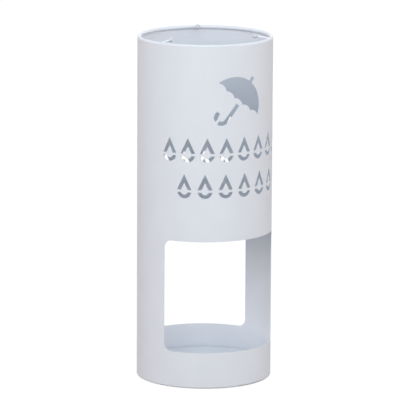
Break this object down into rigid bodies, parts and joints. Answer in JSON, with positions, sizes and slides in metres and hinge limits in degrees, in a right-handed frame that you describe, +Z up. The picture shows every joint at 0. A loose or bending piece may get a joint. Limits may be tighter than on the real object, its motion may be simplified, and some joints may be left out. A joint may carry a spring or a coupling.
{
  "type": "umbrella stand",
  "caption": "Tall round umbrella stand of rolled white sheet steel, with large front and back windows, stencil cut-outs, inner wire hooks, a lift-out drip tray and rubber feet.",
  "frame": {"origin": "On the floor, at the centre of the round foot.", "axes": "+Z is up along the tube. The front, with its window and stencils, faces -Y, and the side posts face +X and -X."},
  "size_m": [0.195, 0.195, 0.5048],
  "materials": {
    "powder_coat": "satin, fine powder-coat texture",
    "tray_coat": "satin",
    "ball_plastic": "gloss",
    "stiffener_wire": "drawn, bare",
    "foot_rubber": "matte"
  },
  "bodies": {
    "stand": {"shell": "powder_coat", "top_wire": "stiffener_wire", "bottom_wire": "stiffener_wire", "seam_weld": "powder_coat", "base_plate": "powder_coat", "foot_1": "foot_rubber", "foot_2": "foot_rubber", "foot_3": "foot_rubber", "foot_4": "foot_rubber", "hook_wire_1": "powder_coat", "hook_wire_2": "powder_coat", "hook_wire_3": "powder_coat", "hook_ball_1": "ball_plastic", "hook_ball_2": "ball_plastic", "hook_ball_3": "ball_plastic"},
    "tray": {"drip_tray": "tray_coat"}
  },
  "joints": [
    {"name": "tray_lift", "type": "slide", "parent": "stand", "child": "tray", "axis": [0, 0, 1], "range_m": [0, 0.14]}
  ]
}
